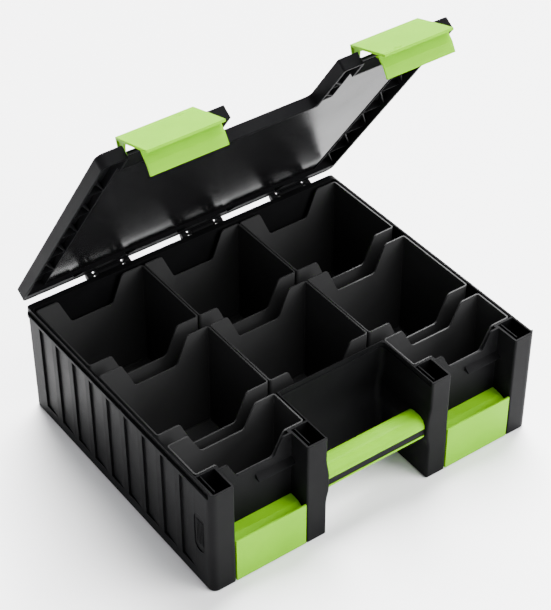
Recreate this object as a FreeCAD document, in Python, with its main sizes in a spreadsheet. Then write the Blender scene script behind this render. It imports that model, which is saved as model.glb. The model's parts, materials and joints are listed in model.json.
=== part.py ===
import FreeCAD, Part
import os
import Sketcher

# Fishing tackle box: a moulded base with eight lift-out bins, a hinged lid with two snap
# latches, two stacking latches below them and a carry handle in a bay at the front.
# Row frame: +X right, -Y front, +Z up, origin at the centre of the base's bottom.
# The lid is drawn closed and then swung open about its hinge; so are its latches.

SIZES = [
    # overall
    ("width", 400, "case width"),
    ("depth", 336, "case depth, front columns to rear wall"),
    ("height", 131, "floor to the top of the front columns"),
    ("side_wall", 5.2, "side wall thickness"),
    ("rear_wall", 4.5, "rear wall thickness"),
    ("floor_thick", 3, "base floor thickness"),
    ("corner_radius", 8, "outer vertical corners"),
    ("foot_chamfer", 1.8, "chamfer round the bottom edge"),
    ("thin_wall", 2.2, "column, bay and latch-bay walls"),
    # front columns, handle bay, latch bays
    ("outer_column", 27.4, "width of each outer column"),
    ("bay_half", 64.3, "half width of the handle bay"),
    ("bay_depth", 79, "depth of the handle bay"),
    ("inner_column", 24, "width of each inner column"),
    ("column_slot", 3.4, "slot on the left of each column pocket"),
    ("column_partition", 1.2, "thin wall between slot and pocket"),
    ("partition_drop", 0.8, "top of that wall below the rim"),
    ("pocket_behind", 2, "rear end of a column pocket behind the latch bay's back wall"),
    ("pocket_floor", 6, "height of a column pocket's floor"),
    ("latch_recess", 26, "depth of a latch bay"),
    ("bay_corner", 6, "concave corners of the handle bay"),
    ("column_edge", 2.2, "vertical edges of the columns"),
    ("bay_step", 0.9, "step round the handle bay just under the rim"),
    ("bay_step_tall", 5.6, "height of that step"),
    ("swell", 3.2, "swelling of the bay walls beside the handle"),
    ("swell_below", 12, "bottom of the swelling below the handle"),
    ("swell_above", 17.4, "top of the swelling above the handle"),
    ("swell_full_below", 2, "full swelling starts above the handle's underside"),
    ("swell_full_above", 1.6, "full swelling ends below the handle's top"),
    ("swell_round", 38, "blend of the swelling into the wall"),
    # rim
    ("ledge_drop", 6, "ledge outside the rim ridge below the rim"),
    ("ledge_width", 3, "width of that ledge"),
    ("ridge_start", 4.5, "front end of the rim ridge"),
    ("rim_flange", 3, "rim behind the rear wall"),
    ("rim_flange_tall", 9, "height of the rear rim"),
    # latch bay details
    ("dip_depth", 20, "depth of the dip in a latch bay's back wall"),
    ("dip_in_low", 20.7, "inner column to the dip's inner end at its bottom"),
    ("dip_in_high", 10.7, "inner column to the dip's inner end at its top"),
    ("dip_out_low", 20.6, "outer column to the dip's outer end at its bottom"),
    ("dip_out_high", 10.6, "outer column to the dip's outer end at its top"),
    ("dip_round", 4, "rounding of the dip corners"),
    ("catch_foot", 4.7, "underside of the catch wedge above the latch's lower edge"),
    ("catch_edge", 0.8, "height of the catch wedge's front edge"),
    ("catch_rise", 5.2, "rise of its top from the front edge to the wall"),
    ("catch_reach", 6.3, "how far the catch wedge stands out"),
    ("catch_length", 42.5, "length of the catch wedge"),
    # side panels
    ("shingle_count", 9, "stepped panels on each side wall"),
    ("shingle_front", 52.1, "front step to the front face"),
    ("shingle_depth", 2.3, "step at the rear of each panel"),
    ("shingle_bottom", 14.5, "bottom of the stepped panels"),
    ("shingle_drop", 9.5, "top of the stepped panels below the column tops"),
    ("shingle_rear", 26.3, "last step to the rear face"),
    ("shingle_flat", 2.7, "flat length of a panel before the next step"),
    ("oblong_front", 11.5, "front of the oblong recess"),
    ("oblong_width", 17.5, "width of the oblong recess"),
    ("oblong_bottom", 44, "bottom of the oblong recess"),
    ("oblong_height", 49, "height of the oblong recess"),
    ("oblong_depth", 2, "depth of the oblong recess"),
    ("insert_gap", 0.2, "gap round the oblong insert"),
    ("insert_back", 1, "back plate of the oblong insert"),
    ("insert_rib", 1, "rib width on the insert"),
    ("insert_rib_height", 0.7, "rib height on the insert"),
    ("insert_rib_pitch", 2.4, "rib pitch on the insert"),
    ("insert_rib_count", 5, "ribs on the insert"),
    # bins
    ("bin_wall", 1.7, "bin wall and floor"),
    ("bin_radius", 3.5, "bin corners and bottom edges"),
    ("bin_draft", 0.7, "lean of the bin walls, degrees"),
    ("bin_rim_drop", 1, "bin rims below the column tops"),
    ("bin_lift", 0.3, "gap under each bin"),
    ("row_gap", 17, "gap between the rear row and the middle row"),
    ("front_row_gap", 15.9, "gap between the middle row and the front bins"),
    ("rear_row_gap", 4.1, "rear bins to the rear wall"),
    ("bin_side_gap", 1.2, "bins to the side walls"),
    ("mid_half", 61.4, "half width of the middle bins"),
    ("column_gap", 1, "gap between bin columns"),
    ("front_bin_back", 82.5, "rear rim of the front bins"),
    ("front_bin_gap", 1.2, "front bins to the walls before them"),
    ("notch_depth", 33, "depth of the dip in a bin's front and rear wall"),
    ("notch_depth_front", 27, "depth of the dip in a front bin"),
    ("notch_low", 25, "half width of a dip at its bottom"),
    ("notch_high", 39, "half width of a dip at the rim"),
    ("notch_round", 5, "rounding of the dip corners"),
    # handle
    ("handle_front", 4.1, "handle front face behind the column fronts"),
    ("handle_deep", 28, "handle depth"),
    ("handle_bottom", 58, "underside of the handle"),
    ("stripe_bottom", 61.2, "bottom of the dark stripe"),
    ("stripe_top", 69.7, "top of the dark stripe"),
    ("handle_top", 81.6, "top of the handle"),
    ("stripe_inset", 0.5, "the stripe lies this far behind the grip faces"),
    ("grip_wall", 3, "wall of the upper grip"),
    ("dome_round", 11.3, "rounding of the upper grip"),
    ("strip_round", 1.2, "rounding of the lower grip"),
    ("grip_gap", 0.1, "gap between the grips and the core"),
    # stacking latches
    ("latch_gap", 0.9, "latch to column, each side"),
    ("stack_height", 55.5, "top of the stacking latch plate"),
    ("stack_bottom", 2, "bottom of the stacking latch plate"),
    ("stack_plate", 2.4, "stacking latch plate"),
    ("stack_shelf_rear", 51.4, "rear edge of its finger scoop"),
    ("stack_shelf_low", 47.2, "lowest point of its finger scoop"),
    ("stack_bulge", 3.4, "rise of the scoop a third of the way back"),
    ("stack_shelf", 2, "thickness of the finger scoop"),
    ("stack_pivot_y", 4.2, "stacking latch pivot behind the column fronts"),
    ("stack_pivot_z", 5.2, "stacking latch pivot above the floor"),
    ("stack_barrel", 3, "stacking latch barrel radius"),
    ("stack_pin_r", 1.5, "stacking latch pin radius"),
    ("latch_rib", 2, "ribs inside the latches"),
    # lid
    ("lid_gap", 0.3, "closed lid above the columns"),
    ("lid_thick", 13, "lid thickness"),
    ("lid_top", 2, "lid top plate"),
    ("lid_wall", 2.6, "lid outer wall"),
    ("lid_front", 1.5, "lid front edge behind the column fronts"),
    ("lid_notch", 76, "depth of the lid's handle notch"),
    ("lid_open", 55.55, "lid angle at rest, degrees from closed"),
    ("panel_side", 27.5, "edge of the lid's inner panel to the lid's side"),
    ("panel_thick", 2, "inner panel thickness"),
    ("panel_inset", 5.3, "inner panel above the lid's lower edge"),
    ("panel_rim", 4.6, "rim round the inner panel above the lid's lower edge"),
    ("panel_front", 5.5, "front edge of the inner panel behind the latch bays' back wall"),
    ("panel_rear", 13, "step at the inner panel's rear edge to the lid's rear edge"),
    ("panel_notch_side", 88.5, "inner panel edge beside the handle notch"),
    ("panel_notch_back", 6, "inner panel edge behind the handle notch"),
    ("panel_gap", 0.3, "gap round the inner panel"),
    ("rib_thick", 1.1, "lid ribs"),
    ("rib_recess", 4.2, "lid ribs above the lid's lower edge"),
    ("rib_count", 5, "cross ribs in each side channel"),
    ("rib_start", 79.5, "first cross rib behind the lid's front edge"),
    ("rib_end", 58, "last cross rib to the lid's rear edge"),
    ("rib_slant", 42, "run of a slanting rib along its channel"),
    ("small_rib_pitch", 25, "spacing of the cross ribs beside the handle notch"),
    ("small_rib_count", 2, "cross ribs beside the handle notch"),
    ("small_rib_start", 51, "first of them behind the lid's front edge"),
    ("small_rib_slant", 19, "run of a slanting rib beside the handle notch"),
    ("band_recess", 0.5, "rear ledge above the lid's lower edge"),
    ("pit_pitch", 64.5, "spacing of the pits in the rear ledge"),
    ("pit_count", 5, "pits in the rear ledge"),
    ("pit_first", -142.5, "first pit"),
    ("pit_length", 13, "length of a pit"),
    ("pit_width", 6, "width of a pit"),
    # hinges
    ("hinge_behind", 5, "hinge axis behind the rear rim"),
    ("hinge_drop", 1.5, "hinge axis below the column tops"),
    ("hinge_first", -95.3, "centre of the first hinge"),
    ("hinge_pitch", 119.2, "hinge spacing"),
    ("hinge_count", 3, "hinges"),
    ("hinge_half", 26.5, "half length of a hinge"),
    ("hinge_lug", 7, "length of each base lug"),
    ("hinge_mid_lug", 2.4, "thickness of the small middle lugs"),
    ("hinge_barrel", 3.5, "radius of the lugs and the lid knuckle"),
    ("hinge_pin_r", 1.5, "hinge pin radius"),
    ("hinge_side_gap", 0.5, "lid knuckle to its neighbours"),
    ("knuckle_half", 13, "half length of the lid knuckle"),
    ("running_fit", 0.06, "radial gap round the pins"),
    # lid latches
    ("latch_pivot_y", 17, "latch pivot behind the column fronts"),
    ("latch_pivot_z", 9, "latch pivot above the lid's lower edge"),
    ("latch_length", 54, "latch plate length"),
    ("latch_plate", 2.5, "latch plate thickness"),
    ("latch_open", 50.4, "latch angle at rest, degrees from latched"),
    ("latch_top_flange", 7, "depth of the latch's top flange"),
    ("latch_hook_root", 9.6, "hook flange above the plate's lower edge, at the plate"),
    ("latch_hook_bend", 8.4, "hook flange above that edge at its first bend"),
    ("latch_hook_mid", 4.1, "hook flange above that edge at its second bend"),
    ("latch_hook_low", 2.3, "hook flange above that edge at its third bend"),
    ("latch_hook_tip", 1.4, "hook flange above that edge at its tip"),
    ("latch_bend_in", 6.2, "first bend behind the column fronts"),
    ("latch_mid_in", 10.6, "second bend before the hook tip"),
    ("latch_low_in", 4.3, "third bend before the hook tip"),
    ("latch_hook_gap", 1.2, "hook tip to the latch bay's back wall"),
    ("latch_hook_thick", 1.6, "hook flange thickness"),
    ("latch_boss", 4.4, "latch pivot boss radius"),
    ("pin_boss", 3.6, "radius of the bosses that hold the latch pins in the lid"),
    ("latch_pin_r", 2, "latch pin radius"),
    ("pin_seat", 2, "how deep a pin end sits in the case"),
]


class Dim:
    """A length that carries both its number and the sheet expression it comes from."""

    def __init__(self, number, text):
        self.number = float(number)
        self.text = text

    def __add__(self, other):
        other = dim(other)
        return Dim(self.number + other.number, "(%s + %s)" % (self.text, other.text))

    def __radd__(self, other):
        return dim(other) + self

    def __sub__(self, other):
        other = dim(other)
        return Dim(self.number - other.number, "(%s - %s)" % (self.text, other.text))

    def __rsub__(self, other):
        return dim(other) - self

    def __mul__(self, other):
        other = dim(other)
        return Dim(self.number * other.number, "(%s * %s)" % (self.text, other.text))

    def __rmul__(self, other):
        return dim(other) * self

    def __truediv__(self, other):
        other = dim(other)
        return Dim(self.number / other.number, "(%s / %s)" % (self.text, other.text))

    def __neg__(self):
        return Dim(-self.number, "(0 - %s)" % self.text)


def dim(value):
    return value if isinstance(value, Dim) else Dim(value, repr(float(value)))


class Sheet:
    """The driving dimensions by name."""


doc = FreeCAD.newDocument("TackleBox")
sheet = doc.addObject("Spreadsheet::Sheet", "Sizes")
s = Sheet()
for row, (alias, number, note) in enumerate(SIZES, 1):
    sheet.set("A%d" % row, alias)
    sheet.set("B%d" % row, str(number))
    sheet.set("C%d" % row, note)
    sheet.setAlias("B%d" % row, alias)
    setattr(s, alias, Dim(number, "Sizes." + alias))
doc.recompute()


def bind(obj, name, value):
    obj.setExpression(name, dim(value).text)


def new_body(label):
    body = doc.addObject("PartDesign::Body", label)
    body.Label = label
    return body


def sketch(body, name, plane, offset, loops, circles=()):
    """A fully placed sketch of closed loops and circles on one of the body's planes."""
    sk = body.newObject("Sketcher::SketchObject", name)
    role = [f for f in body.Origin.OriginFeatures if f.Role == plane][0]
    sk.AttachmentSupport = [(role, "")]
    sk.MapMode = "FlatFace"
    bind(sk, ".AttachmentOffset.Base.z", offset)
    shapes = []
    links = []
    count = 0
    for loop in loops:
        points = [FreeCAD.Vector(dim(a).number, dim(b).number, 0) for a, b in loop]
        first = count
        for i, p in enumerate(points):
            shapes.append(Part.LineSegment(p, points[(i + 1) % len(points)]))
            links.append((count, first + (i + 1) % len(points), loop[i]))
            count += 1
    sk.addGeometry(shapes, False)
    for this, after, point in links:
        sk.addConstraint(Sketcher.Constraint("Coincident", this, 2, after, 1))
    for this, after, point in links:
        for kind, value in (("DistanceX", point[0]), ("DistanceY", point[1])):
            n = sk.addConstraint(Sketcher.Constraint(kind, -1, 1, this, 1, dim(value).number))
            bind(sk, "Constraints[%d]" % n, value)
    for a, b, r in circles:
        centre = FreeCAD.Vector(dim(a).number, dim(b).number, 0)
        g = sk.addGeometry(Part.Circle(centre, FreeCAD.Vector(0, 0, 1), dim(r).number), False)
        n = sk.addConstraint(Sketcher.Constraint("Radius", g, dim(r).number))
        bind(sk, "Constraints[%d]" % n, r)
        for kind, value in (("DistanceX", a), ("DistanceY", b)):
            n = sk.addConstraint(Sketcher.Constraint(kind, -1, 1, g, 3, dim(value).number))
            bind(sk, "Constraints[%d]" % n, value)
    return sk


def pad(body, name, plane, offset, length, loops, circles=()):
    """Grows along the plane's normal: +Z, +X or -Y."""
    sk = sketch(body, name + "_sketch", plane, offset, loops, circles)
    feature = body.newObject("PartDesign::Pad", name)
    feature.Profile = sk
    bind(feature, "Length", length)
    body.Tip = feature
    doc.recompute()
    return feature


def pocket(body, name, plane, offset, length, loops, circles=()):
    """Cuts against the plane's normal: -Z, -X or +Y."""
    sk = sketch(body, name + "_sketch", plane, offset, loops, circles)
    feature = body.newObject("PartDesign::Pocket", name)
    feature.Profile = sk
    bind(feature, "Length", length)
    body.Tip = feature
    doc.recompute()
    return feature


def repeat(body, name, features, axis, pitch, count):
    """A row of the features along the body's X or Y axis."""
    feature = body.newObject("PartDesign::LinearPattern", name)
    feature.Originals = features
    role = [f for f in body.Origin.OriginFeatures if f.Role == axis][0]
    feature.Direction = (role, [""])
    bind(feature, "Length", pitch * (count - 1))
    bind(feature, "Occurrences", count)
    body.Tip = feature
    doc.recompute()
    return feature


def dress(body, kind, name, size, wanted):
    """A fillet or chamfer on every edge that the test accepts."""
    tip = body.Tip
    names = ["Edge%d" % n for n, e in enumerate(tip.Shape.Edges, 1) if wanted(e)]
    if not names:
        raise ValueError("no edge for " + name)
    feature = body.newObject("PartDesign::" + kind, name)
    feature.Base = (tip, names)
    bind(feature, "Radius" if kind == "Fillet" else "Size", size)
    body.Tip = feature
    doc.recompute()
    return feature


def upright(edge, x, y, near=0.05):
    """Is this a vertical edge at |x|, y?"""
    a = edge.BoundBox
    if a.XLength > 0.01 or a.YLength > 0.01 or a.ZLength < 1:
        return False
    return abs(abs(a.XMin) - dim(x).number) < near and abs(a.YMin - dim(y).number) < near


def box(x0, x1, y0, y1):
    return [(x0, y0), (x1, y0), (x1, y1), (x0, y1)]


def both_sides(points):
    """A loop on the right and the same loop on the left."""
    return [points, [(-a, b) for a, b in reversed(points)]]


front = -s.depth / 2
rear = s.depth / 2
half = s.width / 2
outer_in = half - s.outer_column          # inner face of an outer column
inner_out = s.bay_half + s.inner_column   # latch-bay face of an inner column
bay_back = front + s.bay_depth
latch_back = front + s.latch_recess
cavity_half = half - s.side_wall
pocket_front = front + s.thin_wall
wall_back = latch_back + s.thin_wall      # cavity side of a latch bay's back wall
pocket_back = wall_back + s.pocket_behind
rim_rear = rear + s.rim_flange
hinge_y = rim_rear + s.hinge_behind
hinge_z = s.height - s.hinge_drop
latch_axis_y = front + s.latch_pivot_y
lid_low = s.height + s.lid_gap
latch_axis_z = lid_low + s.latch_pivot_z
stack_axis_y = front + s.stack_pivot_y
bin_rim = s.height - s.bin_rim_drop
lid_high = lid_low + s.lid_thick
latch_foot = lid_high - s.latch_length

# ---------------------------------------------------------------- base
base = new_body("base_case")
outline = [
    (-half, front), (-outer_in, front), (-outer_in, latch_back), (-inner_out, latch_back),
    (-inner_out, front), (-s.bay_half, front), (-s.bay_half, bay_back), (s.bay_half, bay_back),
    (s.bay_half, front), (inner_out, front), (inner_out, latch_back), (outer_in, latch_back),
    (outer_in, front), (half, front), (half, rear), (-half, rear),
]
pad(base, "block", "XY_Plane", dim(0), s.height, [outline])
# the walls of the handle bay swell gently beside the handle
grip_end = s.bay_half - s.swell
swell_low = s.handle_bottom - s.swell_below
swell_high = s.handle_top + s.swell_above
pad(base, "swellings", "XZ_Plane", -bay_back, s.bay_depth, both_sides([
    (s.bay_half + 1, swell_low), (s.bay_half + 1, swell_high), (s.bay_half, swell_high),
    (grip_end, s.handle_top - s.swell_full_above), (grip_end, s.handle_bottom + s.swell_full_below),
    (s.bay_half, swell_low),
]))


def crease(edge):
    """Is this an edge of the swellings that runs from front to rear?"""
    a = edge.BoundBox
    if a.YLength < 5 or a.XLength > 0.01 or a.ZLength > 0.01 or abs(a.XMin) > s.bay_half.number + 0.1:
        return False
    return swell_low.number - 0.1 < a.ZMin < swell_high.number + 0.1


def bay_edge(edge, y):
    """Does this edge run up a bay wall at y?"""
    a = edge.BoundBox
    if a.YLength > 0.01 or a.ZLength < 1 or abs(a.YMin - y.number) > 0.05:
        return False
    far_out = max(abs(a.XMin), abs(a.XMax))
    return grip_end.number - 0.1 < far_out < s.bay_half.number + 0.1


dress(base, "Fillet", "swell_blends", s.swell_round, crease)
dress(base, "Fillet", "outer_corners", s.corner_radius,
      lambda e: upright(e, half, front) or upright(e, half, rear))
dress(base, "Fillet", "bay_corners", s.bay_corner, lambda e: bay_edge(e, bay_back))
dress(base, "Fillet", "column_edges", s.column_edge,
      lambda e: bay_edge(e, front) or upright(e, inner_out, front) or upright(e, outer_in, front))
dress(base, "Chamfer", "foot_edge", s.foot_chamfer, lambda e: e.BoundBox.ZMax < 0.01)
pad(base, "rear_rim", "XY_Plane", s.height - s.rim_flange_tall, s.rim_flange_tall,
    [box(-half, half, rear - s.corner_radius - 1, rim_rear)])
dress(base, "Fillet", "rim_corners", s.corner_radius, lambda e: upright(e, half, rim_rear))

column_back = pocket_back + s.thin_wall
pocket_side = s.bay_half + s.thin_wall
bay_wall_back = bay_back + s.thin_wall
cavity = [
    (-cavity_half, column_back), (-outer_in + s.thin_wall, column_back),
    (-outer_in + s.thin_wall, wall_back), (-inner_out - s.thin_wall, wall_back),
    (-inner_out - s.thin_wall, column_back), (-pocket_side, column_back),
    (-pocket_side, bay_wall_back), (pocket_side, bay_wall_back), (pocket_side, column_back),
    (inner_out + s.thin_wall, column_back), (inner_out + s.thin_wall, wall_back),
    (outer_in - s.thin_wall, wall_back), (outer_in - s.thin_wall, column_back),
    (cavity_half, column_back), (cavity_half, rear - s.rear_wall), (-cavity_half, rear - s.rear_wall),
]
pocket(base, "bin_cavity", "XY_Plane", s.height, s.height - s.floor_thick, [cavity])
dress(base, "Fillet", "cavity_corners", s.corner_radius / 2,
      lambda e: upright(e, cavity_half, rear - s.rear_wall))

# ledge down the sides, outside the rim ridge
ridge_half = half - s.ledge_width
far = half + 1
pocket(base, "rim_ledge", "XY_Plane", s.height, s.ledge_drop,
       both_sides(box(ridge_half, far, front + s.ridge_start, rim_rear + 1)))
# step round the handle bay
step_half = s.bay_half + s.bay_step
pocket(base, "bay_rim", "XY_Plane", s.height, s.bay_step_tall,
       [box(-step_half, step_half, front + s.column_edge, bay_back + s.bay_step)])
dress(base, "Fillet", "bay_rim_corners", s.bay_corner,
      lambda e: upright(e, step_half, bay_back + s.bay_step))

# each column is open at the top, with a slot and a thin partition on its left
pockets = []
partitions = []
for low, high in ((-cavity_half, -outer_in - s.thin_wall), (-inner_out + s.thin_wall, -pocket_side),
                  (pocket_side, inner_out - s.thin_wall), (outer_in + s.thin_wall, cavity_half)):
    pockets.append(box(low, high, pocket_front, pocket_back))
    partitions.append(box(low + s.column_slot, low + s.column_slot + s.column_partition,
                          pocket_front + s.column_slot, pocket_back + 0.5))
pocket(base, "column_pockets", "XY_Plane", s.height, s.height - s.pocket_floor, pockets)
pad(base, "column_partitions", "XY_Plane", s.pocket_floor - 0.5,
    s.height - s.partition_drop - s.pocket_floor + 0.5, partitions)

dip_low = [inner_out + s.dip_in_low, outer_in - s.dip_out_low]
dip_high = [inner_out + s.dip_in_high, outer_in - s.dip_out_high]
dip_floor = s.height - s.dip_depth
pocket(base, "latch_bay_dips", "XZ_Plane", -(latch_back - 1), s.thin_wall + 2, both_sides([
    (dip_high[0], s.height + 1), (dip_high[0], s.height), (dip_low[0], dip_floor),
    (dip_low[1], dip_floor), (dip_high[1], s.height), (dip_high[1], s.height + 1),
]))


def dip_corner(edge):
    """Is this a corner of a latch-bay dip?"""
    a = edge.BoundBox
    if a.XLength > 0.01 or a.ZLength > 0.01 or abs(a.YMin - latch_back.number) > 0.1:
        return False
    low = [(x.number, dip_floor.number) for x in dip_low]
    high = [(x.number, s.height.number) for x in dip_high]
    return any(abs(abs(a.XMin) - x) < 0.02 and abs(a.ZMin - z) < 0.02 for x, z in low + high)


dress(base, "Fillet", "dip_rounds", s.dip_round, dip_corner)
catch_low = latch_foot + s.catch_foot
catch_tip = catch_low + s.catch_edge
catch_high = catch_tip + s.catch_rise
for name, x in (("right", outer_in), ("left", -inner_out)):
    pad(base, "catch_" + name, "YZ_Plane", x - s.catch_length, s.catch_length, [[
        (latch_back - s.catch_reach, catch_low), (latch_back + 1, catch_low),
        (latch_back + 1, catch_high), (latch_back, catch_high), (latch_back - s.catch_reach, catch_tip),
    ]])

# stepped panels down both sides
step = rear - s.shingle_rear
shingle_pitch = (step - front - s.shingle_front) / (s.shingle_count - 1)
shingle_fade = shingle_pitch - s.shingle_flat
shingle_top = s.height - s.shingle_drop
for side, name in ((1, "right"), (-1, "left")):
    cut = pocket(base, name + "_step", "XY_Plane", shingle_top, shingle_top - s.shingle_bottom, [[
        (side * (half + 0.5), step), (side * (half - s.shingle_depth), step),
        (side * (half + 0.5), step - shingle_fade),
    ]])
    steps = repeat(base, name + "_steps", [cut], "Y_Axis", shingle_pitch, s.shingle_count)
    steps.Reversed = True
    doc.recompute()


def along_x(edge, y, z, near=0.05):
    """Is this an edge parallel to X at y, z?"""
    a = edge.BoundBox
    if a.YLength > 0.01 or a.ZLength > 0.01 or a.XLength < 0.2:
        return False
    return abs(a.YMin - dim(y).number) < near and abs(a.ZMin - dim(z).number) < near


oblong_r = s.oblong_width / 2
oblong_y = front + s.oblong_front + oblong_r
oblong_low = s.oblong_bottom + oblong_r
oblong_high = s.oblong_bottom + s.oblong_height - oblong_r


def oblong(make, body, name, x, length, r):
    """A plate or a recess with straight sides and round ends."""
    make(body, name, "YZ_Plane", x, length, [box(oblong_y - r, oblong_y + r, oblong_low, oblong_high)])
    make(body, name + "_low_end", "YZ_Plane", x, length, [], [(oblong_y, oblong_low, r)])
    make(body, name + "_high_end", "YZ_Plane", x, length, [], [(oblong_y, oblong_high, r)])


oblong(pocket, base, "right_oblong", half, s.oblong_depth, oblong_r)
oblong(pocket, base, "left_oblong", -half + s.oblong_depth, s.oblong_depth, oblong_r)

# seats for the stacking latch pins, in the column faces on both sides of each latch bay
for side, name in ((1, "right"), (-1, "left")):
    low = inner_out - s.pin_seat if side > 0 else -outer_in - s.pin_seat
    high = outer_in + s.pin_seat if side > 0 else -inner_out + s.pin_seat
    pocket(base, name + "_pin_seats", "YZ_Plane", high, high - low, [],
           [(stack_axis_y, s.stack_pivot_z, s.stack_pin_r)])

# hinge lugs: one at each end of a hinge and a thin one each side of the lid knuckle
first = s.hinge_first
lug_low = s.height - s.rim_flange_tall - s.hinge_barrel
barrel = s.hinge_barrel


def hinge_arm(body, name, x, length, outline):
    """A barrel on the hinge axis and the arm that joins it to a wall."""
    a = pad(body, name + "_arm", "YZ_Plane", x, length, [outline])
    b = pad(body, name + "_barrel", "YZ_Plane", x, length, [], [(hinge_y, hinge_z, barrel)])
    return [a, b]


lug_arm = [
    (rear - 1, lug_low), (hinge_y, hinge_z - barrel), (hinge_y, hinge_z + barrel),
    (rim_rear, s.height - s.lid_gap * 2), (rear - 1, s.height - s.lid_gap * 2),
]
lugs = []
mid_lug = s.knuckle_half + s.hinge_side_gap
for name, x, length in (
    ("end_lug_a", first - s.hinge_half, s.hinge_lug),
    ("mid_lug_a", first - mid_lug - s.hinge_mid_lug, s.hinge_mid_lug),
    ("mid_lug_b", first + mid_lug, s.hinge_mid_lug),
    ("end_lug_b", first + s.hinge_half - s.hinge_lug, s.hinge_lug),
):
    lugs += hinge_arm(base, name, x, length, lug_arm)
repeat(base, "all_lugs", lugs, "X_Axis", s.hinge_pitch, s.hinge_count)
bores = pocket(base, "lug_bore", "YZ_Plane", first + s.hinge_half, s.hinge_half * 2, [],
               [(hinge_y, hinge_z, s.hinge_pin_r)])
repeat(base, "lug_bores", [bores], "X_Axis", s.hinge_pitch, s.hinge_count)

# ---------------------------------------------------------------- bins


def rounded_cut(body, name, x, y, length, floor, rim):
    """The wide dip with sloping sides through a bin's front and rear walls."""
    pocket(body, name, "XZ_Plane", -y, length, [[
        (x - s.notch_low, floor), (x + s.notch_low, floor), (x + s.notch_high, rim),
        (x + s.notch_high, rim + 1), (x - s.notch_high, rim + 1), (x - s.notch_high, rim),
    ]])
    marks = [((x - half_wide).number, (x + half_wide).number, dim(z).number)
             for half_wide, z in ((s.notch_low, floor), (s.notch_high, rim))]

    def corner(e):
        a = e.BoundBox
        if a.XLength > 0.01 or a.YLength < 0.5 or a.YLength > 4 or a.ZLength > 0.6:
            return False
        return any(abs(a.ZMin - z) < 0.6 and min(abs(a.XMin - left), abs(a.XMin - right)) < 0.05
                   for left, right, z in marks)
    dress(body, "Fillet", name + "_round", s.notch_round, corner)


def bin_body(label, x0, x1, y0, y1, dip):
    """An open bin: walls lean in toward the floor, rounded corners, a dip front and rear."""
    body = new_body(label)
    low = s.floor_thick + s.bin_lift
    block = pad(body, "block", "XY_Plane", low, bin_rim - low, [box(x0, x1, y0, y1)])
    faces = list(enumerate(block.Shape.Faces, 1))
    draft = body.newObject("PartDesign::Draft", "lean")
    draft.Base = (block, ["Face%d" % n for n, f in faces if abs(f.normalAt(0, 0).z) < 0.5])
    draft.NeutralPlane = (block, ["Face%d" % n for n, f in faces if f.normalAt(0, 0).z > 0.5])
    bind(draft, "Angle", s.bin_draft)
    draft.Reversed = True
    body.Tip = draft
    doc.recompute()
    dress(body, "Fillet", "corners", s.bin_radius, lambda e: e.CenterOfMass.z < bin_rim.number - 1)
    solid = body.Tip
    face = max(enumerate(solid.Shape.Faces, 1), key=lambda f: f[1].CenterOfMass.z)[0]
    shell = body.newObject("PartDesign::Thickness", "hollow")
    shell.Base = (solid, ["Face%d" % face])
    bind(shell, "Value", s.bin_wall)
    shell.Reversed = True
    body.Tip = shell
    doc.recompute()
    rounded_cut(body, "dip", (x0 + x1) / 2, y0 - 1, y1 - y0 + 2, bin_rim - dip, bin_rim)
    return body


side_in = s.mid_half + s.column_gap
side_out = cavity_half - s.bin_side_gap
rear_back = rear - s.rear_wall - s.rear_row_gap
front_front = column_back + s.front_bin_gap
front_back = front + s.front_bin_back
bin_depth = (rear_back - front_back - s.row_gap - s.front_row_gap) / 2
rear_front = rear_back - bin_depth
mid_back = rear_front - s.row_gap
mid_front = mid_back - bin_depth
front_in = pocket_side + s.front_bin_gap
for row, y0, y1 in (("rear", rear_front, rear_back), ("middle", mid_front, mid_back)):
    bin_body("bin_%s_left" % row, -side_out, -side_in, y0, y1, s.notch_depth)
    bin_body("bin_%s_centre" % row, -s.mid_half, s.mid_half, y0, y1, s.notch_depth)
    bin_body("bin_%s_right" % row, side_in, side_out, y0, y1, s.notch_depth)
bin_body("bin_front_left", -side_out, -front_in, front_front, front_back, s.notch_depth_front)
bin_body("bin_front_right", front_in, side_out, front_front, front_back, s.notch_depth_front)

# ---------------------------------------------------------------- handle
grip_front = front + s.handle_front
grip_back = grip_front + s.handle_deep
core_front = grip_front + s.stripe_inset
core_back = grip_back - s.stripe_inset
core = new_body("handle_core")
pad(core, "stripe", "YZ_Plane", -grip_end, grip_end * 2,
    [box(core_front, core_back, s.stripe_bottom, s.stripe_top)])
inner_front = grip_front + s.grip_wall + 2
inner_back = grip_back - s.grip_wall - 2
pad(core, "spine", "YZ_Plane", -grip_end, grip_end * 2, [[
    (inner_front, s.stripe_top - 1), (inner_back, s.stripe_top - 1), (inner_back, s.stripe_top + 3),
    (inner_back - 3, s.handle_top - s.grip_wall), (inner_front + 3, s.handle_top - s.grip_wall),
    (inner_front, s.stripe_top + 3),
]])

upper = new_body("handle_grip_upper")
grip_long = (grip_end - s.grip_gap) * 2
grip_x = -(grip_end - s.grip_gap)
grip_low = s.stripe_top + s.grip_gap
pad(upper, "dome", "YZ_Plane", grip_x, grip_long, [box(grip_front, grip_back, grip_low, s.handle_top)])
dress(upper, "Fillet", "dome_round", s.dome_round,
      lambda e: along_x(e, grip_front, s.handle_top) or along_x(e, grip_back, s.handle_top))
g = s.grip_gap
pocket(upper, "spine_slot", "YZ_Plane", grip_end, grip_end * 2, [[
    (inner_front - g, grip_low - 1), (inner_back + g, grip_low - 1), (inner_back + g, s.stripe_top + 3),
    (inner_back - 3 + g, s.handle_top - s.grip_wall + g),
    (inner_front + 3 - g, s.handle_top - s.grip_wall + g), (inner_front - g, s.stripe_top + 3),
]])

lower = new_body("handle_grip_lower")
pad(lower, "strip", "YZ_Plane", grip_x, grip_long,
    [box(grip_front, grip_back, s.handle_bottom, s.stripe_bottom - s.grip_gap)])
dress(lower, "Fillet", "strip_round", s.strip_round,
      lambda e: along_x(e, grip_front, s.handle_bottom) or along_x(e, grip_back, s.handle_bottom))

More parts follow.
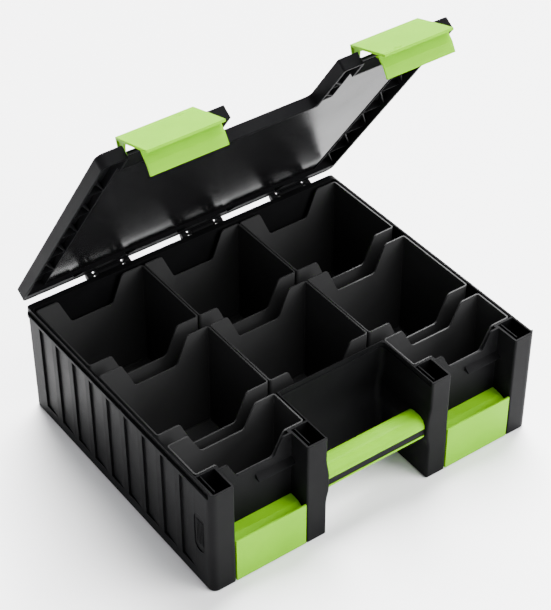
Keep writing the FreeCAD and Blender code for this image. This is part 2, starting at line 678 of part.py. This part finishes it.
# ---------------------------------------------------------------- stacking latches
stack_wall = front + s.stack_plate
stack_rear = latch_back - 0.7
scoop_front = stack_wall + (stack_rear - stack_wall) * 0.15
scoop_mid = stack_wall + (stack_rear - stack_wall) * 0.5
scoop_high = s.stack_shelf_low + s.stack_bulge
bays = (("right", inner_out, outer_in), ("left", -outer_in, -inner_out))
for name, low, high in bays:
    x0 = low + s.latch_gap
    x1 = high - s.latch_gap
    latch = new_body("stack_latch_" + name)
    shelf = s.stack_shelf
    pad(latch, "plate_and_scoop", "YZ_Plane", x0, x1 - x0, [[
        (front, s.stack_bottom), (stack_wall, s.stack_bottom), (stack_wall, s.stack_shelf_low - shelf),
        (scoop_front, s.stack_shelf_low - shelf), (scoop_mid, scoop_high - shelf),
        (stack_rear, s.stack_shelf_rear - shelf), (stack_rear, s.stack_shelf_rear),
        (scoop_mid, scoop_high), (scoop_front, s.stack_shelf_low),
        (stack_wall, s.stack_shelf_low + 0.8), (stack_wall - 0.6, s.stack_height), (front, s.stack_height),
    ]])
    count = 3
    for n in range(count):
        x = x0 + (x1 - x0 - s.latch_rib) * (n / (count - 1))
        pad(latch, "rib_%d" % n, "YZ_Plane", x, s.latch_rib, [[
            (stack_wall - 0.5, s.stack_bottom + 1), (stack_axis_y + s.stack_barrel, s.stack_pivot_z),
            (front + 19, s.stack_shelf_rear - 4), (stack_wall - 0.5, s.stack_shelf_low - 1),
        ]])
    pad(latch, "barrel", "YZ_Plane", x0, x1 - x0, [], [(stack_axis_y, s.stack_pivot_z, s.stack_barrel)])
    pocket(latch, "bore", "YZ_Plane", x1, x1 - x0, [],
           [(stack_axis_y, s.stack_pivot_z, s.stack_pin_r + s.running_fit)])


def rod(label, x0, x1, y, z, radius):
    """A plain pin lying along X."""
    pin = doc.addObject("Part::Cylinder", label)
    pin.Label = label
    lying = FreeCAD.Rotation(FreeCAD.Vector(0, 1, 0), 90)
    pin.Placement = FreeCAD.Placement(FreeCAD.Vector(0, 0, 0), lying)
    bind(pin, "Radius", radius)
    bind(pin, "Height", x1 - x0)
    bind(pin, "Placement.Base.x", x0)
    bind(pin, "Placement.Base.y", y)
    bind(pin, "Placement.Base.z", z)
    return pin


for name, low, high in bays:
    rod("stack_pin_" + name, low - s.pin_seat, high + s.pin_seat,
        stack_axis_y, s.stack_pivot_z, s.stack_pin_r)
for n, name in enumerate(("left", "middle", "right")):
    centre = s.hinge_first + s.hinge_pitch * n
    rod("hinge_pin_" + name, centre - s.hinge_half, centre + s.hinge_half,
        hinge_y, hinge_z, s.hinge_pin_r)

# ---------------------------------------------------------------- side inserts
for side, name in ((1, "right"), (-1, "left")):
    insert = new_body("side_insert_" + name)
    low = half - s.oblong_depth if side > 0 else -half + s.oblong_depth - s.insert_back
    oblong(pad, insert, "back", low, s.insert_back, oblong_r - s.insert_gap)
    x = low + s.insert_back if side > 0 else low - s.insert_rib_height
    y = oblong_y - s.insert_rib_pitch * (s.insert_rib_count - 1) / 2 - s.insert_rib / 2
    rib = pad(insert, "rib", "YZ_Plane", x, s.insert_rib_height,
              [box(y, y + s.insert_rib, oblong_low, oblong_high)])
    repeat(insert, "ribs", [rib], "Y_Axis", s.insert_rib_pitch, s.insert_rib_count)

# ---------------------------------------------------------------- lid, drawn closed
lid_front = front + s.lid_front
lid_notch = front + s.lid_notch
lid = new_body("lid_shell")
pad(lid, "slab", "XY_Plane", lid_low, s.lid_thick, [[
    (-half, lid_front), (-outer_in, lid_front), (-outer_in, latch_back), (-inner_out, latch_back),
    (-inner_out, lid_front), (-s.bay_half, lid_front), (-s.bay_half, lid_notch), (s.bay_half, lid_notch),
    (s.bay_half, lid_front), (inner_out, lid_front), (inner_out, latch_back), (outer_in, latch_back),
    (outer_in, lid_front), (half, lid_front), (half, rim_rear), (-half, rim_rear),
]])
dress(lid, "Fillet", "outer_corners", s.corner_radius,
      lambda e: upright(e, half, lid_front) or upright(e, half, rim_rear))
dress(lid, "Fillet", "notch_corners", s.bay_corner, lambda e: upright(e, s.bay_half, lid_notch))
dress(lid, "Fillet", "finger_edges", s.column_edge,
      lambda e: upright(e, s.bay_half, lid_front) or upright(e, inner_out, lid_front)
      or upright(e, outer_in, lid_front))
w = s.lid_wall
hollow = s.lid_thick - s.lid_top
pocket(lid, "hollow", "XY_Plane", lid_low + hollow, hollow, [[
    (-half + w, lid_front + w), (-outer_in - w, lid_front + w), (-outer_in - w, latch_back + w),
    (-inner_out + w, latch_back + w), (-inner_out + w, lid_front + w), (-s.bay_half - w, lid_front + w),
    (-s.bay_half - w, lid_notch + w), (s.bay_half + w, lid_notch + w), (s.bay_half + w, lid_front + w),
    (inner_out - w, lid_front + w), (inner_out - w, latch_back + w), (outer_in + w, latch_back + w),
    (outer_in + w, lid_front + w), (half - w, lid_front + w), (half - w, rim_rear - w),
    (-half + w, rim_rear - w),
]])
panel_half = half - s.panel_side


def panel_edge(grow):
    """Outline of the smooth inner panel, larger by grow."""
    x2 = panel_half + grow
    x1 = s.panel_notch_side - grow
    y0 = latch_back + s.panel_front - grow
    y1 = lid_notch + s.panel_notch_back - grow
    y2 = rim_rear - s.panel_rear - s.panel_gap + grow
    return [(-x2, y0), (-x1, y0), (-x1, y1), (x1, y1), (x1, y0), (x2, y0), (x2, y2), (-x2, y2)]


rib_low = lid_low + s.rib_recess
rib_tall = hollow - s.rib_recess
pad(lid, "panel_wall", "XY_Plane", lid_low + s.panel_rim, hollow - s.panel_rim,
    [panel_edge(s.rib_thick + s.panel_gap), panel_edge(s.panel_gap)])
seat_low = lid_low + s.panel_inset + s.panel_thick
pad(lid, "panel_seat", "XY_Plane", seat_low, lid_low + hollow - seat_low,
    [panel_edge(s.panel_gap + 0.1), panel_edge(-2)])
# ledge along the rear, a step down to the panel and a row of small pits in the ledge
band_front = rim_rear - s.panel_rear
pad(lid, "rear_ledge", "XY_Plane", lid_low + s.band_recess, s.lid_top,
    [box(-half + w - 0.5, half - w + 0.5, band_front, rim_rear - w + 0.5)])
pad(lid, "rear_step", "XY_Plane", lid_low + s.band_recess, hollow - s.band_recess,
    [box(-half + w - 0.5, half - w + 0.5, band_front, band_front + s.rib_thick)])
pit = pocket(lid, "pit", "XY_Plane", lid_low + s.band_recess + s.lid_top, s.lid_top + 1, [[
    (s.pit_first, band_front - 0.5), (s.pit_first + s.pit_length, band_front - 0.5),
    (s.pit_first + s.pit_length * 0.3, band_front + s.pit_width),
]])
repeat(lid, "pits", [pit], "X_Axis", s.pit_pitch, s.pit_count)

# cross ribs and slanting ribs down the side channels and beside the handle notch
channel_in = panel_half + s.panel_gap + s.rib_thick - 0.3
channel_out = half - w + 0.3


def truss(name, x0, x1, y, slant, pitch, count):
    """Cross ribs between two walls, each with a slanting rib to the outer wall."""
    t = s.rib_thick
    cross = pad(lid, name + "_cross", "XY_Plane", rib_low, rib_tall,
                [[(x0, y), (x1, y), (x1, y + t), (x0, y + t)]])
    lean = pad(lid, name + "_slant", "XY_Plane", rib_low, rib_tall,
               [[(x0, y), (x1, y + slant), (x1, y + slant + t * 2), (x0, y + t * 2)]])
    repeat(lid, name + "_row", [cross, lean], "Y_Axis", pitch, count)


rib_y = lid_front + s.rib_start
rib_pitch = (rim_rear - s.rib_end - rib_y) / (s.rib_count - 1)
truss("right_ribs", channel_in, channel_out, rib_y, s.rib_slant, rib_pitch, s.rib_count)
truss("left_ribs", -channel_in, -channel_out, rib_y, -s.rib_slant, rib_pitch, s.rib_count)
notch_in = s.panel_notch_side - s.panel_gap - s.rib_thick + 0.3
notch_out = s.bay_half + w - 0.3
small_y = lid_front + s.small_rib_start
for side, name in ((1, "right"), (-1, "left")):
    truss(name + "_small", notch_in * side, notch_out * side, small_y, -s.small_rib_slant,
          s.small_rib_pitch, s.small_rib_count)

# finger blocks hold the latch pins, cut away for the pin ends
for side, name in ((1, "right"), (-1, "left")):
    low = inner_out - s.pin_seat - 2 if side > 0 else -outer_in - s.pin_seat - 2
    high = outer_in + s.pin_seat + 2 if side > 0 else -inner_out + s.pin_seat + 2
    inner = inner_out if side > 0 else -outer_in
    outer = outer_in if side > 0 else -inner_out
    boss = [(latch_axis_y, latch_axis_z, s.pin_boss)]
    pad(lid, name + "_boss_a", "YZ_Plane", low, inner - low - 0.5, [], boss)
    pad(lid, name + "_boss_b", "YZ_Plane", outer + 0.5, high - outer - 0.5, [], boss)
    pocket(lid, name + "_latch_seats", "YZ_Plane", outer + s.pin_seat, outer - inner + s.pin_seat * 2, [],
           [(latch_axis_y, latch_axis_z, s.latch_pin_r)])

knuckle_arm = [
    (rim_rear - 1, lid_low + 0.5), (hinge_y, lid_low + 0.5), (hinge_y, hinge_z + barrel),
    (rim_rear - 1, lid_low + 7),
]
knuckle = hinge_arm(lid, "knuckle", s.hinge_first - s.knuckle_half, s.knuckle_half * 2, knuckle_arm)
repeat(lid, "knuckles", knuckle, "X_Axis", s.hinge_pitch, s.hinge_count)
bore = pocket(lid, "knuckle_bore", "YZ_Plane", s.hinge_first + s.knuckle_half + 1,
              s.knuckle_half * 2 + 2, [], [(hinge_y, hinge_z, s.hinge_pin_r + s.running_fit)])
repeat(lid, "knuckle_bores", [bore], "X_Axis", s.hinge_pitch, s.hinge_count)

panel = new_body("lid_panel")
pad(panel, "plate", "XY_Plane", lid_low + s.panel_inset, s.panel_thick - 0.05, [panel_edge(dim(0))])

# ---------------------------------------------------------------- lid latches, drawn latched
latch_top = lid_high
inside = front + s.latch_plate
hook_tip = latch_back - s.latch_hook_gap
hook = [
    (inside, latch_foot + s.latch_hook_root), (front + s.latch_bend_in, latch_foot + s.latch_hook_bend),
    (hook_tip - s.latch_mid_in, latch_foot + s.latch_hook_mid),
    (hook_tip - s.latch_low_in, latch_foot + s.latch_hook_low), (hook_tip, latch_foot + s.latch_hook_tip),
]
lid_latches = []
for name, low, high in bays:
    x0 = low + s.latch_gap
    x1 = high - s.latch_gap
    latch = new_body("lid_latch_" + name)
    k = s.latch_hook_thick
    pad(latch, "plate_and_hook", "YZ_Plane", x0, x1 - x0, [
        [(front, latch_foot), (inside, latch_foot)] + hook + [(a, b + k) for a, b in reversed(hook)] + [
            (inside, latch_top - s.latch_plate), (inside + s.latch_top_flange, latch_top - s.latch_plate),
            (inside + s.latch_top_flange, latch_top), (front, latch_top),
        ]])
    count = 4
    for n in range(count):
        x = x0 + 1 + (x1 - x0 - 2 - s.latch_rib) * (n / (count - 1))
        pad(latch, "rib_%d" % n, "YZ_Plane", x, s.latch_rib, [[
            (inside - 0.5, latch_axis_z - s.latch_boss * 2),
            (latch_axis_y - 1, latch_axis_z - s.latch_boss),
            (latch_axis_y, latch_axis_z + s.latch_boss - 0.2), (inside - 0.5, latch_top - 1),
        ]])
        pad(latch, "boss_%d" % n, "YZ_Plane", x - 1, s.latch_rib + 2, [],
            [(latch_axis_y, latch_axis_z, s.latch_boss)])
    pocket(latch, "bore", "YZ_Plane", x1, x1 - x0, [],
           [(latch_axis_y, latch_axis_z, s.latch_pin_r + s.running_fit)])
    lid_latches.append(latch)
lid_pins = []
for name, low, high in bays:
    pin = doc.addObject("Part::Feature", "latch_pin_" + name)
    pin.Label = "latch_pin_" + name
    start = (low - s.pin_seat).number
    pin.Shape = Part.makeCylinder(
        s.latch_pin_r.number, (high + s.pin_seat).number - start,
        FreeCAD.Vector(start, latch_axis_y.number, latch_axis_z.number), FreeCAD.Vector(1, 0, 0))
    lid_pins.append(pin)

# ---------------------------------------------------------------- rest pose
hinge_point = FreeCAD.Vector(0, hinge_y.number, hinge_z.number)
latch_point = FreeCAD.Vector(0, latch_axis_y.number, latch_axis_z.number)
x_axis = FreeCAD.Vector(1, 0, 0)


def turned(point, degrees):
    """A placement that turns about an X-parallel axis through the point."""
    turn = FreeCAD.Rotation(x_axis, degrees)
    return FreeCAD.Placement(point - turn.multVec(point), turn)


open_lid = turned(hinge_point, -sheet.get("lid_open"))
open_latch = open_lid.multiply(turned(latch_point, -sheet.get("latch_open")))
for obj in [lid, panel] + lid_pins:
    obj.Placement = open_lid
for obj in lid_latches:
    obj.Placement = open_latch

doc.recompute()
pieces = [o for o in doc.Objects if o.TypeId in ("PartDesign::Body", "Part::Cylinder", "Part::Feature")]
for obj in doc.Objects:
    if "Invalid" in obj.State or "Error" in obj.State:
        raise RuntimeError(obj.Name + " failed: " + str(obj.State))
for obj in pieces:
    if obj.Shape.isNull() or not obj.Shape.isValid() or not obj.Shape.Solids:
        raise RuntimeError(obj.Label + " has no valid shape")
os.makedirs("parts", exist_ok=True)
for obj in pieces:
    obj.Shape.exportStep("parts/%s.step" % obj.Label)
    print(obj.Label, len(obj.Shape.Solids), round(obj.Shape.Volume))
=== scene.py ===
import bpy
import json
import math
from mathutils import Matrix, Vector

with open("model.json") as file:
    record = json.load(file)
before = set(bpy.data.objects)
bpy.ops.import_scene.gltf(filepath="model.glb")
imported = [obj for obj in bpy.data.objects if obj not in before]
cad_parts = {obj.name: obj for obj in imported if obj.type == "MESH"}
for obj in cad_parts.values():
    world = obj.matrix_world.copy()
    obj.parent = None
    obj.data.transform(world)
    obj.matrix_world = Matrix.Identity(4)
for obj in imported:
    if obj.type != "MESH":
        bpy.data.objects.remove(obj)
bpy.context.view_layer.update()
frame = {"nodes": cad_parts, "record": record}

FLOOR_REACH = 12.0                           # half the width of the studio floor
CAMERA_PLACE = (-0.8333, -1.1469, 1.3273)
CAMERA_TURN = (-35.865, 39.694, -0.141)      # azimuth, elevation, roll in degrees
CAMERA_LENS = 107.35
CAMERA_SENSOR = 36
# grey added to the base colour on sharp edges: a painted highlight
EDGE_HIGHLIGHT_COLOUR = (0.5, 0.5, 0.5, 1)
GRAIN_HEIGHT = 0.0002

# ------------------------------------------------------------------ materials


def node(tree, kind, **inputs):
    """A shader node with its named sockets set."""
    made = tree.nodes.new(kind)
    for name, value in inputs.items():
        made.inputs[name.replace("_", " ")].default_value = value
    return made


def noise(tree, scale, detail=2.0, rough=0.5, stretch=None):
    """A noise in object space, stretched along an axis if wanted."""
    where = tree.nodes.new("ShaderNodeTexCoord")
    source = where.outputs["Object"]
    if stretch:
        mapping = tree.nodes.new("ShaderNodeMapping")
        mapping.inputs["Scale"].default_value = stretch
        tree.links.new(source, mapping.inputs["Vector"])
        source = mapping.outputs["Vector"]
    made = node(tree, "ShaderNodeTexNoise", Scale=scale, Detail=detail, Roughness=rough)
    tree.links.new(source, made.inputs["Vector"])
    return made.outputs["Fac"]


def ramp(tree, source, stops):
    """A colour or grey ramp over a factor."""
    made = tree.nodes.new("ShaderNodeValToRGB")
    marks = made.color_ramp.elements
    while len(marks) < len(stops):
        marks.new(0.5)
    for mark, (place, value) in zip(marks, stops):
        mark.position = place
        mark.color = (*value, 1) if hasattr(value, "__len__") else (value, value, value, 1)
    tree.links.new(source, made.inputs["Fac"])
    return made.outputs["Color"]


def plastic(name, colour, light, rough, grain, depth, specular, sheen, painted_highlight=0.0, edge=0.0005):
    """Moulded plastic: mottled colour, fine mould grain, a painted highlight on sharp edges, faint scuffs.
    """
    material = bpy.data.materials.new(name)
    material.use_nodes = True
    tree = material.node_tree
    shader = tree.nodes["Principled BSDF"]
    shader.inputs["Specular IOR Level"].default_value = specular
    shader.inputs["Specular Tint"].default_value = (sheen, sheen, sheen, 1)

    mottle = ramp(tree, noise(tree, 26, 4, 0.6), ((0.35, colour), (0.7, light)))
    geometry = tree.nodes.new("ShaderNodeNewGeometry")
    # painted highlight: sharp edges (high pointiness) are lightened in the base colour
    painted_edge_highlight = ramp(tree, geometry.outputs["Pointiness"], ((0.515, 0.0), (0.58, painted_highlight)))
    edge_highlight_mix = tree.nodes.new("ShaderNodeMix")
    edge_highlight_mix.data_type = "RGBA"
    edge_highlight_mix.blend_type = "ADD"
    tree.links.new(painted_edge_highlight, edge_highlight_mix.inputs["Factor"])
    tree.links.new(mottle, edge_highlight_mix.inputs["A"])
    edge_highlight_mix.inputs["B"].default_value = EDGE_HIGHLIGHT_COLOUR
    tree.links.new(edge_highlight_mix.outputs["Result"], shader.inputs["Base Color"])

    gloss = ramp(tree, noise(tree, 9, 5, 0.65), ((0.3, rough - 0.05), (0.75, rough + 0.07)))
    scuffs = ramp(tree, noise(tree, 60, 6, 0.7, (1, 9, 3)), ((0.60, 0.0), (0.75, 0.08)))
    add = tree.nodes.new("ShaderNodeMath")
    add.operation = "ADD"
    tree.links.new(gloss, add.inputs[0])
    tree.links.new(scuffs, add.inputs[1])
    tree.links.new(add.outputs["Value"], shader.inputs["Roughness"])

    soft_edge = tree.nodes.new("ShaderNodeBevel")
    soft_edge.samples = 4
    soft_edge.inputs["Radius"].default_value = edge
    bump = tree.nodes.new("ShaderNodeBump")
    bump.inputs["Strength"].default_value = depth
    bump.inputs["Distance"].default_value = GRAIN_HEIGHT
    tree.links.new(noise(tree, grain, 3, 0.6), bump.inputs["Height"])
    tree.links.new(soft_edge.outputs["Normal"], bump.inputs["Normal"])
    tree.links.new(bump.outputs["Normal"], shader.inputs["Normal"])
    return material


# each look's figure for edge lightening sets the strength of its painted edge highlight
LOOKS = {
    "case": plastic("case_black", (0.0034, 0.0034, 0.0037), (0.0046, 0.0046, 0.0049), 0.45, 1500, 0.18,
                    specular=0.03, sheen=0.6, painted_highlight=0.002, edge=0.0009),
    "bin": plastic("bin_black", (0.0115, 0.0115, 0.0118), (0.0140, 0.0140, 0.0144), 0.38, 1300, 0.12,
                   specular=0.06, sheen=0.8, painted_highlight=0.03, edge=0.0007),
    "lid": plastic("lid_black", (0.0034, 0.0034, 0.0037), (0.0046, 0.0046, 0.0049), 0.45, 1500, 0.18,
                   specular=0.008, sheen=0.35, painted_highlight=0.0012, edge=0.0009),
    "panel": plastic("panel_polished", (0.0042, 0.0042, 0.0044), (0.0047, 0.0047, 0.0049), 0.20, 900, 0.0,
                     specular=0.022, sheen=0.40),
    "green": plastic("lime_green", (0.118, 0.325, 0.0001), (0.132, 0.350, 0.0002), 0.30, 1200, 0.05,
                     specular=0.035, sheen=0.5, painted_highlight=0.0004, edge=0.0007),
    "pin": plastic("pin_black", (0.004, 0.004, 0.0045), (0.006, 0.006, 0.0065), 0.35, 1200, 0.1,
                   specular=0.05, sheen=0.3),
    "insert": plastic("insert_black", (0.0030, 0.0030, 0.0033), (0.0040, 0.0040, 0.0043), 0.50, 1400, 0.25,
                      specular=0.04, sheen=0.5),
}
slot_of = {part["node"]: part["material_slot"] for part in frame["record"]["subparts"]}
for name, obj in frame["nodes"].items():
    look = LOOKS[slot_of[name]]
    obj.data.materials.clear()
    obj.data.materials.append(look)

# ------------------------------------------------------------------ studio
floor_material = bpy.data.materials.new("floor_paper")
floor_material.use_nodes = True
floor_shader = floor_material.node_tree.nodes["Principled BSDF"]
floor_shader.inputs["Base Color"].default_value = (0.92, 0.92, 0.925, 1)
floor_shader.inputs["Roughness"].default_value = 0.75

mesh = bpy.data.meshes.new("floor")
corners = [(x * FLOOR_REACH, y * FLOOR_REACH, 0) for x, y in ((-1, -1), (1, -1), (1, 1), (-1, 1))]
mesh.from_pydata(corners, [], [(0, 1, 2, 3)])
floor = bpy.data.objects.new("floor", mesh)
floor.data.materials.append(floor_material)
bpy.context.scene.collection.objects.link(floor)

world = bpy.data.worlds.new("studio")
world.use_nodes = True
world.node_tree.nodes["Background"].inputs["Color"].default_value = (0.95, 0.96, 1.0, 1)
world.node_tree.nodes["Background"].inputs["Strength"].default_value = 0.5
bpy.context.scene.world = world


def lamp(name, place, target, size, power, colour=(1, 1, 1)):
    """A square soft light aimed at a point."""
    data = bpy.data.lights.new(name, "AREA")
    data.size = size
    data.energy = power
    data.color = colour
    obj = bpy.data.objects.new(name, data)
    obj.location = place
    obj.rotation_euler = (Vector(target) - Vector(place)).to_track_quat("-Z", "Y").to_euler()
    bpy.context.scene.collection.objects.link(obj)


def sun(name, toward, energy, spread):
    """A wide soft light from far away; toward points at it."""
    data = bpy.data.lights.new(name, "SUN")
    data.energy = energy
    data.angle = math.radians(spread)
    obj = bpy.data.objects.new(name, data)
    obj.rotation_euler = Vector(toward).to_track_quat("Z", "Y").to_euler()
    bpy.context.scene.collection.objects.link(obj)


sun("overhead", (0.36, 0.42, 0.83), 19, 38)
sun("top_front", (0.20, -0.42, 0.88), 2.5, 40)
lamp("left_fill", (-2.2, -0.6, 0.9), (0, 0, 0.1), 1.6, 3)
lamp("front_fill", (1.5, -2.0, 1.1), (0.1, -0.1, 0.05), 1.6, 135)

# ------------------------------------------------------------------ camera
azimuth, elevation, roll = [math.radians(angle) for angle in CAMERA_TURN]
back = Vector((math.sin(azimuth) * math.cos(elevation), -math.cos(azimuth) * math.cos(elevation),
               math.sin(elevation)))
right = Vector((math.cos(azimuth), math.sin(azimuth), 0))
up = back.cross(right)
turned_right = right * math.cos(roll) + up * math.sin(roll)
turned_up = up * math.cos(roll) - right * math.sin(roll)
camera_data = bpy.data.cameras.new("camera")
camera_data.sensor_width = CAMERA_SENSOR
camera_data.lens = CAMERA_LENS
camera_data.clip_start = 0.01
camera_data.clip_end = 100
camera = bpy.data.objects.new("camera", camera_data)
spin = Matrix((turned_right, turned_up, back)).transposed().to_4x4()
camera.matrix_world = Matrix.Translation(CAMERA_PLACE) @ spin
bpy.context.scene.collection.objects.link(camera)
bpy.context.scene.camera = camera
